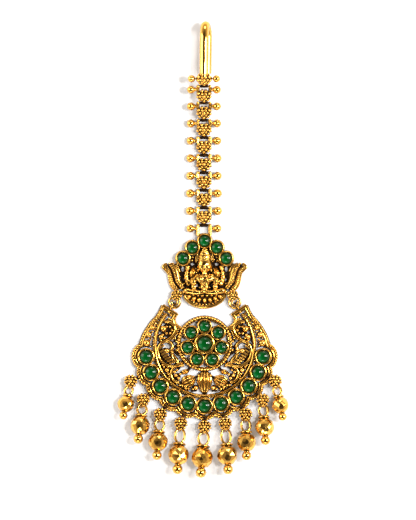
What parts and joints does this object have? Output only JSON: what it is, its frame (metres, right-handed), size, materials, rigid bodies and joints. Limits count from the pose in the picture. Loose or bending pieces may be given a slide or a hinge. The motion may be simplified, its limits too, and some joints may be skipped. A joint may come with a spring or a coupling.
{
  "type": "maang tikka",
  "caption": "Forehead ornament in antique gold: hair hook, flower link chain, lotus figure crest and an openwork crescent with green stones and bead drops.",
  "frame": {"origin": "centre of the medallion's back face, which lies flat on a surface", "axes": "+X to the wearer's left as seen from the front, +Y up the chain towards the hair hook, +Z out of the face"},
  "size_m": [0.0511, 0.1361, 0.0077],
  "materials": {
    "antique_gold": "cast and soldered brass, antique gold plating, dark in the recesses",
    "bright_gold": "polished gold plating",
    "green_stone": "polished dark green cabochon"
  },
  "bodies": {
    "root": {"chain_link_1": "antique_gold", "chain_link_2": "antique_gold", "chain_link_3": "antique_gold", "chain_link_4": "antique_gold", "chain_link_5": "antique_gold", "chain_link_6": "antique_gold", "chain_link_7": "antique_gold", "chain_link_8": "antique_gold", "crescent_pendant": "antique_gold", "crest_panel": "antique_gold", "crest_stone_1": "green_stone", "crest_stone_2": "green_stone", "crest_stone_3": "green_stone", "crest_stone_4": "green_stone", "crest_stone_5": "green_stone", "drop_bead_1": "bright_gold", "drop_bead_2": "bright_gold", "drop_bead_3": "bright_gold", "drop_bead_4": "bright_gold", "drop_bead_5": "bright_gold", "drop_bead_6": "bright_gold", "drop_bead_7": "bright_gold", "drop_bead_8": "bright_gold", "drop_bead_9": "bright_gold", "hair_hook": "bright_gold", "jump_ring_left": "bright_gold", "jump_ring_right": "bright_gold", "medallion_heart_stone": "green_stone", "medallion_stone_1": "green_stone", "medallion_stone_2": "green_stone", "medallion_stone_3": "green_stone", "medallion_stone_4": "green_stone", "medallion_stone_5": "green_stone", "medallion_stone_6": "green_stone", "medallion_stone_7": "green_stone", "rim_stone_01": "green_stone", "rim_stone_02": "green_stone", "rim_stone_03": "green_stone", "rim_stone_04": "green_stone", "rim_stone_05": "green_stone", "rim_stone_06": "green_stone", "rim_stone_07": "green_stone", "rim_stone_08": "green_stone", "rim_stone_09": "green_stone", "rim_stone_10": "green_stone", "rim_stone_11": "green_stone"}
  },
  "joints": []
}
